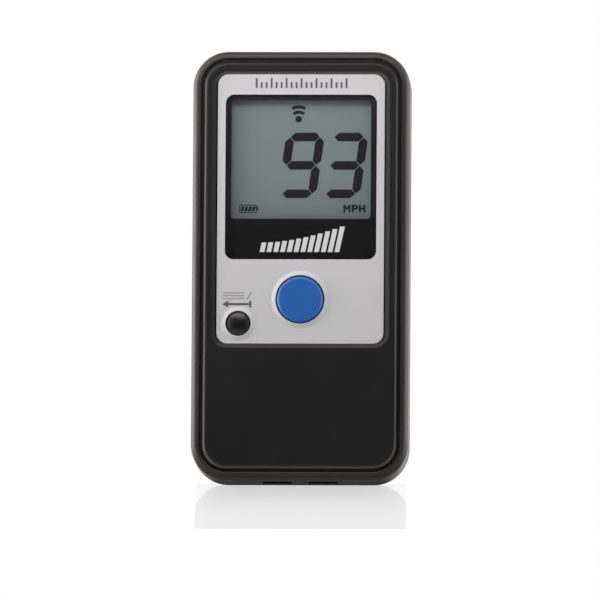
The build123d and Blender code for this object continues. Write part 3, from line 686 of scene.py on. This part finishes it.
def make_mode_marks(grey_ink):
    """Two plain symbols above the small button: a list, and a turn-back arrow."""
    x, list_z = MODE.x / MM - 0.35, MODE.z / MM + 7.6
    row_pitch = 0.78
    rows = [bar((x - 1.0, list_z + row_pitch * row), 6.0, 0.24) for row in (-1, 0, 1)]
    slash = stroke((x + 2.7, list_z - 1.05), (x + 3.9, list_z + 1.05), 0.3)
    pale_ink = ink("pale_ink", (0.20, 0.195, 0.20))
    print_marks("list_mark", [*rows, slash], FACE_Y - INK, FACE_Y, pale_ink)
    z = list_z - 2.3
    head = [(x - 4.0, z), (x - 2.4, z + 1.0), (x - 2.4, z - 1.0)]
    shaft = bar((x + 0.4, z), 5.6, 0.6)
    stop = bar((x + 3.6, z), 0.6, 1.8)
    print_marks("recall_mark", [head, shaft, stop], FACE_Y - INK, FACE_Y, grey_ink)


def make_label_marks(grey_ink):
    """Border line and blank fields on the rear label."""
    middle = (0.0, (LABEL_LOW.z + LABEL_HIGH.z) / 2 / MM)
    margins = 3  # both sides together
    width = (LABEL_HIGH.x - LABEL_LOW.x) / MM - margins
    height = (LABEL_HIGH.z - LABEL_LOW.z) / MM - margins
    outlines = border(middle, width, height, 0.25)
    field_width, field_height, pitch = width - 8, 1.1, 4.6
    for row in (1, 0, -1):
        outlines.append(bar((middle[0], middle[1] + pitch * row), field_width, field_height))
    y = LABEL_HIGH.y
    print_marks("label_marks", outlines, y, y + INK, grey_ink)


# ---------------------------------------------------------------- soft pieces


def lathe(name, profile, centre, material, body, steps=64):
    """Closed solid of revolution about Y; profile is (radius, y) in metres, closed on itself."""
    bm = bmesh.new()
    rings = []
    for i in range(steps):
        angle = 2 * math.pi * i / steps
        ring = []
        for radius, y in profile:
            x, z = on_circle((centre.x, centre.z), radius, angle)
            ring.append(bm.verts.new((x, y, z)))
        rings.append(ring)
    count = len(profile)
    for i in range(steps):
        a, b = rings[i], rings[(i + 1) % steps]
        for k in range(count):
            m = (k + 1) % count
            bm.faces.new((a[k], a[m], b[m], b[k]))
    bmesh.ops.recalc_face_normals(bm, faces=bm.faces)
    return add_piece(name, bm, material, body, smooth_faces=True)


def make_dome(node, material):
    """Silicone dome under a button, drawn at rest; in the device it flattens against the board as the button
    goes in.
    """
    low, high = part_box(node)
    centre = (low + high) / 2
    foot = (high.x - low.x) / 2
    top = foot * 0.68
    skin = 0.35 * MM
    pinhole = 0.1 * MM  # the profile stops short of the axis
    profile = [
        (pinhole, low.y),
        (top * 0.92, low.y),
        (top, low.y + 0.08 * MM),
        (foot - 0.25 * MM, high.y - 0.25 * MM),
        (foot, high.y - 0.2 * MM),
        (foot, high.y),
        (foot - skin * 1.6, high.y),
        (top - skin * 1.2, low.y + skin),
        (pinhole, low.y + skin),
    ]
    dome = lathe(node + "_skin", profile, centre, material, "housing")
    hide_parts(node)
    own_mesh(dome)


def make_foam(material):
    """Foam strip inside the door, with soft edges and a slightly dimpled face."""
    low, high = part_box("door_foam_pad")
    middle = (low + high) / 2
    edge_width, edge_drop = 0.9 * MM, 0.28 * MM
    dimple = 0.03 * MM
    waves_x, waves_z = 3100, 2700  # radians per metre
    bm = bmesh.new()
    bmesh.ops.create_cube(bm, size=1.0)
    bmesh.ops.scale(bm, vec=high - low, verts=bm.verts)
    bmesh.ops.translate(bm, vec=middle, verts=bm.verts)
    long_edges = [e for e in bm.edges if e.calc_length() > 5 * MM]
    bmesh.ops.subdivide_edges(bm, edges=long_edges, cuts=24, use_grid_fill=True)
    for v in bm.verts:
        if v.co.y < middle.y:
            inset_x = min(v.co.x - low.x, high.x - v.co.x)
            inset_z = min(v.co.z - low.z, high.z - v.co.z)
            share = min(1.0, min(inset_x, inset_z) / edge_width)
            rounding = 1 - math.sqrt(max(0.0, 1 - (1 - share) ** 2))
            ripple = math.sin(v.co.x * waves_x) * math.sin(v.co.z * waves_z)
            v.co.y += rounding * edge_drop + (0.5 + 0.5 * ripple) * dimple
    bmesh.ops.recalc_face_normals(bm, faces=bm.faces)
    piece = add_piece("door_foam", bm, material, "door", smooth_faces=True)
    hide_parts("door_foam_pad")


# ---------------------------------------------------------------- dressing the CAD nodes


SHARP_EDGE = math.radians(32)


def smooth(node):
    """Shade a CAD node smooth, with its real edges kept sharp."""
    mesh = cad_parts[node].data
    mesh.shade_smooth()
    mesh.set_sharp_from_angle(angle=SHARP_EDGE)


def lcd_glass():
    """Thin clear glass, a little green."""
    s = Shade("lcd_glass", (0.80, 0.88, 0.86), 0.05, Alpha=0.3)
    s.rough(s.spread(s.noise(300, 3), 0.03, 0.08))
    return s.material


def dress_nodes(silicone):
    """Give every CAD node its material."""
    wear(case_front(), "front_shell")
    wear(case_back(), "back_shell")
    wear(door_plastic(), "battery_door")
    wear(faceplate_print(), "faceplate")
    wear(clear_pane(), "display_window")
    wear(mask_print(), "window_mask")
    wear(lcd_face(), "lcd_front_polariser")
    wear(lcd_glass(), "lcd_front_glass", "lcd_rear_glass")
    wear(rubber("reflector_film", (0.35, 0.38, 0.36), 0.35), "lcd_reflector")
    wear(moulded_plastic("holder_white", (0.62, 0.62, 0.60), 0.5), "lcd_holder")
    wear(zebra(), "upper_zebra_strip", "lower_zebra_strip")
    wear(button_cap("blue_cap", (0.0110, 0.096, 0.338), 0.40, 0.05), "measure_button")
    wear(button_cap("black_cap", (0.0040, 0.0039, 0.0042), 0.32, 0.08), "mode_button")
    wear(rubber("tape_film", (0.60, 0.59, 0.55), 0.5), "faceplate_tape", "window_tape")
    wear(silicone, "keypad_mat")
    wear(rubber("carbon", (0.015, 0.015, 0.015), 0.7), "measure_pill", "mode_pill")
    wear(board_mask("main_board_mask", (0.012, 0.11, 0.040), (0.05, 0.22, 0.09)), "main_board")
    wear(board_mask("antenna_laminate", (0.42, 0.38, 0.25), (0.5, 0.46, 0.32)), "antenna_board")
    wear(metal("copper", (0.78, 0.42, 0.22), 0.32), "antenna_patches")
    wear(rubber("nylon", (0.68, 0.66, 0.60), 0.45), "antenna_spacers")
    epoxy = moulded_plastic("epoxy", (0.018, 0.018, 0.018), 0.55)
    wear(epoxy, "processor_chip", "display_driver_chip", "board_header")
    wear(metal("tinplate", (0.70, 0.71, 0.72), 0.35, (1, 1, 0.05)), "crystal_can", "rf_shield_can")
    wear(ceramic_chip(), "board_capacitors")
    wear(metal("nickel", (0.76, 0.75, 0.71), 0.22), "spring_contact", "button_contact", "link_contact")
    wear(metal("zinc", (0.60, 0.60, 0.62), 0.30), "board_screws", "case_screws")
    wear(label_film(), "rear_label")
    wear(cell_sleeve("left_cell", up=True), "left_cell")
    wear(cell_sleeve("right_cell", up=False), "right_cell")
    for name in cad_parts:
        smooth(name)


# ---------------------------------------------------------------- stage, camera and light

# Where the camera stands, from straight in front of the display: degrees, and metres.
CAMERA_BELOW = 7.0
CAMERA_RIGHT = 2.5
CAMERA_ROLL = 0.40
CAMERA_DISTANCE = 4.0
LENS_PER_METRE = 0.2209  # focal length in metres for each metre of distance
AIM_X = 0.03 * MM
AIM_Z = HEIGHT / 2 - 9.76 * MM


def make_camera():
    """Long lens, from a little below and to the right of the display's normal."""
    data = bpy.data.cameras.new("camera")
    data.sensor_width = 36.0
    data.lens = LENS_PER_METRE * CAMERA_DISTANCE / MM
    data.clip_end = 20
    camera = bpy.data.objects.new("camera", data)
    bpy.context.scene.collection.objects.link(camera)
    elevation = math.radians(-CAMERA_BELOW)
    azimuth = math.radians(CAMERA_RIGHT)
    flat = math.cos(elevation)
    away = Vector((math.sin(azimuth) * flat, -math.cos(azimuth) * flat, math.sin(elevation)))
    target = Vector((AIM_X, cad_box[0].y, AIM_Z))
    camera.location = target + away * CAMERA_DISTANCE
    camera.rotation_mode = "QUATERNION"
    turn = (-away).to_track_quat("-Z", "Y")
    roll = Matrix.Rotation(math.radians(CAMERA_ROLL), 4, "Z").to_quaternion()
    camera.rotation_quaternion = turn @ roll
    bpy.context.scene.camera = camera


class Wiring:
    """Short calls for the nodes of the floor and the world."""

    def __init__(self, tree, coordinate):
        self.nodes, self.links = tree.nodes, tree.links
        self.nodes.clear()
        coords = self.nodes.new("ShaderNodeTexCoord")
        self.split = self.nodes.new("ShaderNodeSeparateXYZ")
        self.links.new(coords.outputs[coordinate], self.split.inputs[0])

    def new(self, kind, **sockets):
        """Shader node of a kind, with some of its sockets set."""
        node = self.nodes.new("ShaderNode" + kind)
        for name, value in sockets.items():
            node.inputs[name.replace("_", " ")].default_value = value
        return node

    def axis(self, name):
        """One coordinate of the kind chosen at the start."""
        return self.split.outputs[name]

    def join(self, output, socket):
        """Link an output to an input."""
        self.links.new(output, socket)

    def math(self, operation, a, b=0.0):
        """Result of an operation on two values, each a socket or a number."""
        node = self.nodes.new("ShaderNodeMath")
        node.operation = operation
        for index, value in ((0, a), (1, b)):
            if isinstance(value, bpy.types.NodeSocket):
                self.links.new(value, node.inputs[index])
            else:
                node.inputs[index].default_value = value
        return node.outputs[0]

    def remap(self, value, from_low, from_high, to_low, to_high):
        """Smooth step from to_low to to_high as the value goes from from_low to from_high."""
        node = self.nodes.new("ShaderNodeMapRange")
        node.interpolation_type = "SMOOTHSTEP"
        node.inputs["From Min"].default_value = from_low
        node.inputs["From Max"].default_value = from_high
        node.inputs["To Min"].default_value = to_low
        node.inputs["To Max"].default_value = to_high
        self.links.new(value, node.inputs["Value"])
        return node.outputs["Result"]


FLOOR_TILT = 22.0  # degrees
FLOOR_HALF = 0.30  # half the floor's width, and its reach towards the camera, in metres
FLOOR_PAST = 1.0 * MM  # how far it goes on behind the line where it touches the device
FLOOR_GAP = 0.1 * MM  # between the floor and the device
BACK_EDGE_R = 6.0 * MM  # rounding of the back edge that the device leans on
# The reflection and the shade in front of the device, from the line where it touches the floor.
DRIFT = 0.035  # sideways, for each unit of length towards the camera
REFLECTION_LENGTH = 40.0 * MM
REFLECTION_HALF = 28.2 * MM
REFLECTION_EDGE = 0.8 * MM
REFLECTION_NEAR, REFLECTION_FAR = 0.25, 0.15  # share of the gloss at its two ends
SHADE_LENGTH = 22.0 * MM
SHADE_INNER_HALF, SHADE_OUTER_HALF = 16.0 * MM, 30.0 * MM
SHADE = 0.16
# Light that the floor gives to the device, at its foot and from GLOW_REACH on. The camera sees it white.
GLOW_NEAR, GLOW_FAR = 0.22, 0.80
GLOW_REACH = 50.0 * MM


def floor_sheet():
    """Flat sheet that rises towards the back, just below the device's lower back edge."""
    tilt = math.radians(FLOOR_TILT)
    touch_y = cad_box[1].y - BACK_EDGE_R + BACK_EDGE_R * math.sin(tilt)
    touch_z = BACK_EDGE_R * (1 - math.cos(tilt))
    verts = []
    for y in (-FLOOR_HALF, touch_y + FLOOR_PAST):
        for x in (-FLOOR_HALF, FLOOR_HALF):
            verts.append((x, y, touch_z + (y - touch_y) * math.tan(tilt) - FLOOR_GAP))
    mesh = bpy.data.meshes.new("floor")
    mesh.from_pydata(verts, [], [(0, 1, 3, 2)])
    floor = bpy.data.objects.new("floor", mesh)
    bpy.context.scene.collection.objects.link(floor)
    return floor, touch_y


def make_floor():
    """White floor that shines by itself, with a soft shade and a short reflection before the device.

    It leans as if the device, which stands upright in the row frame, leaned back on its lower back edge.
    """
    floor, touch_y = floor_sheet()
    material = bpy.data.materials.new("floor_white")
    material.use_nodes = True
    floor.data.materials.append(material)
    w = Wiring(material.node_tree, "Object")
    ahead = w.math("SUBTRACT", touch_y, w.axis("Y"))
    aside = w.math("SUBTRACT", w.axis("X"), w.math("MULTIPLY", ahead, DRIFT))
    aside = w.math("ABSOLUTE", aside)

    shade_along = w.remap(ahead, -2.0 * MM, SHADE_LENGTH, 1.0, 0.0)
    shade_across = w.remap(aside, SHADE_INNER_HALF, SHADE_OUTER_HALF, 1.0, 0.0)
    shade = w.math("MULTIPLY", shade_along, shade_across)
    seen = w.math("SUBTRACT", 1.0, w.math("MULTIPLY", shade, SHADE))
    lit = w.remap(ahead, 0.0, GLOW_REACH, GLOW_NEAR, GLOW_FAR)
    path = w.new("LightPath")
    level = w.new("MixRGB")
    w.join(path.outputs["Is Camera Ray"], level.inputs[0])
    w.join(lit, level.inputs[1])
    w.join(seen, level.inputs[2])
    glow = w.new("Emission")
    w.join(level.outputs[0], glow.inputs["Strength"])

    gloss = w.new("BsdfGlossy", Roughness=0.07)
    share = w.remap(ahead, 0.0, REFLECTION_LENGTH, REFLECTION_NEAR, REFLECTION_FAR)
    cut_along = w.remap(ahead, REFLECTION_LENGTH, REFLECTION_LENGTH + 1.0 * MM, 1.0, 0.0)
    cut_across = w.remap(aside, REFLECTION_HALF, REFLECTION_HALF + REFLECTION_EDGE, 1.0, 0.0)
    cut = w.math("MULTIPLY", cut_along, cut_across)
    mix = w.new("MixShader")
    w.join(w.math("MULTIPLY", share, cut), mix.inputs["Fac"])
    w.join(glow.outputs[0], mix.inputs[1])
    w.join(gloss.outputs[0], mix.inputs[2])
    out = w.new("OutputMaterial")
    w.join(mix.outputs[0], out.inputs[0])


# Brightness of the tent: in front and behind, its loss straight above, and the gain at its two sides.
TENT_FRONT, TENT_BEHIND = 0.07, 1.40
TENT_TOP_LOSS = 0.84
TENT_LEFT_GAIN, TENT_RIGHT_GAIN = 1.5, 0.95


def make_world():
    """White tent: bright at both sides and behind, dark in front, dimmer above.

    The camera sees plain white instead.
    """
    world = bpy.data.worlds.new("studio")
    bpy.context.scene.world = world
    world.use_nodes = True
    # For a world these coordinates are the direction, each from -1 to 1, with -Y in front of the device.
    w = Wiring(world.node_tree, "Generated")
    depth = w.remap(w.axis("Y"), -0.95, 0.35, TENT_FRONT, TENT_BEHIND)
    height = w.math("MULTIPLY", w.axis("Z"), w.axis("Z"))
    above = w.math("SUBTRACT", 1.0, w.math("MULTIPLY", height, TENT_TOP_LOSS))
    tent = w.math("MULTIPLY", depth, above)
    side = w.math("MULTIPLY", w.axis("X"), w.axis("X"))
    wings = w.math("MULTIPLY", side, w.remap(w.axis("Y"), -0.85, -0.15, 0.0, 1.0))
    gain = w.remap(w.axis("X"), -0.5, 0.5, TENT_LEFT_GAIN, TENT_RIGHT_GAIN)
    around = w.new("Background", Color=(1, 1, 1, 1))
    w.join(w.math("ADD", tent, w.math("MULTIPLY", wings, gain)), around.inputs["Strength"])
    seen = w.new("Background", Color=(1, 1, 1, 1))
    path = w.new("LightPath")
    mix = w.new("MixShader")
    w.join(path.outputs["Is Camera Ray"], mix.inputs[0])
    w.join(around.outputs[0], mix.inputs[1])
    w.join(seen.outputs[0], mix.inputs[2])
    out = w.new("OutputWorld")
    w.join(mix.outputs[0], out.inputs[0])


# Name, place and size in metres, and power in watts.
LIGHTS = [
    ("key_upper_left", (-0.035, -0.17, 0.27), (0.34, 0.14), 0.60),
    ("left_panel", (-0.60, -0.05, 0.08), (0.5, 0.6), 7.0),
    ("right_panel", (0.60, -0.05, 0.08), (0.5, 0.6), 3.2),
    ("rear_fill", (0.3, 0.8, 0.7), (0.6, 0.6), 2.6),
]


def make_lights():
    """Soft panels that all point at the display, and that the camera can't see."""
    display = Vector((0, 0, HEIGHT * 0.75))
    for name, place, size, power in LIGHTS:
        data = bpy.data.lights.new(name, "AREA")
        data.shape = "RECTANGLE"
        data.size, data.size_y = size
        data.energy = power
        light = bpy.data.objects.new(name, data)
        bpy.context.scene.collection.objects.link(light)
        light.location = place
        light.rotation_mode = "QUATERNION"
        light.rotation_quaternion = (display - light.location).to_track_quat("-Z", "Y")
        light.visible_camera = False


# ---------------------------------------------------------------- build

silicone_rubber = rubber("silicone", (0.52, 0.53, 0.52), 0.5)
plate_ink = ink("grey_ink", (0.075, 0.073, 0.078))
dress_nodes(silicone_rubber)
make_display_content()
make_emblem()
make_scale_mark(plate_ink)
make_mode_marks(plate_ink)
make_label_marks(plate_ink)
make_dome("measure_dome", silicone_rubber)
make_dome("mode_dome", silicone_rubber)
make_foam(foam())
make_camera()
make_floor()
make_world()
make_lights()
bpy.context.scene.view_settings.view_transform = "Standard"
